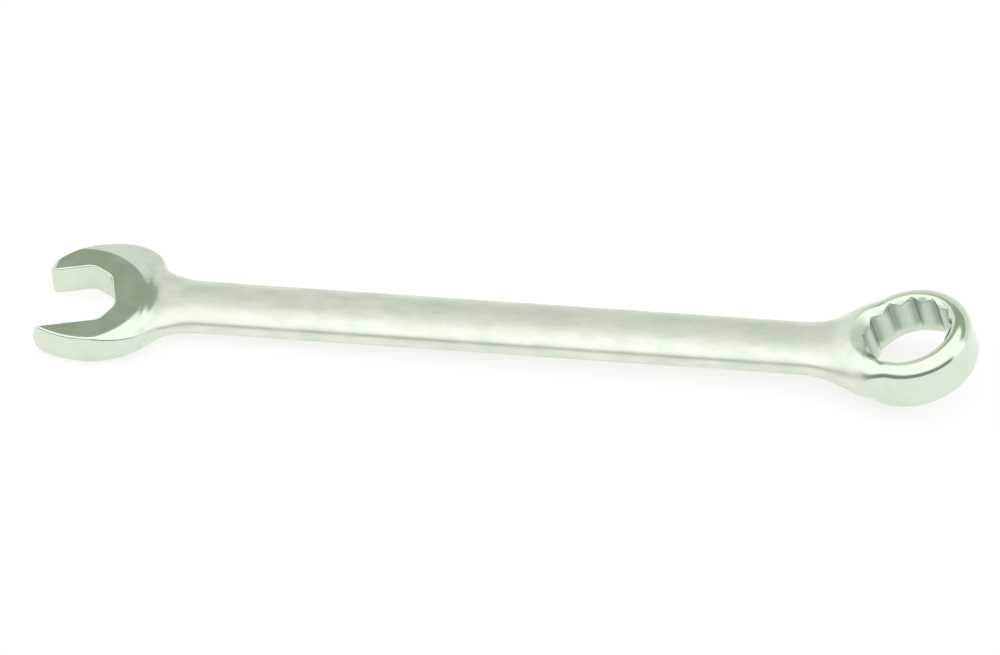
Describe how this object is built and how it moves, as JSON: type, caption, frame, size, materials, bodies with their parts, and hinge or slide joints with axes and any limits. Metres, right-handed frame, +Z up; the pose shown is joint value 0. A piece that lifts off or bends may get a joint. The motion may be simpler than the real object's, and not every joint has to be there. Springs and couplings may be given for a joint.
{
  "type": "combination wrench",
  "caption": "Combination wrench with an angled open end, a rounded shank and a tilted box end, for turning hexagon nuts and bolts.",
  "frame": {"origin": "middle of the underside of the bounding box, on the surface that the wrench lies on", "axes": "+X along the shank towards the box end, +Y across towards the far jaw, +Z up, away from the surface the wrench lies on"},
  "size_m": [0.2272, 0.0376, 0.021],
  "materials": {
    "chrome_steel": "nickel-chrome plate on forged steel, polished on the heads and satin on the shank"
  },
  "bodies": {
    "root": {"open_end_head": "chrome_steel", "shank": "chrome_steel", "box_end_head": "chrome_steel"}
  },
  "joints": []
}
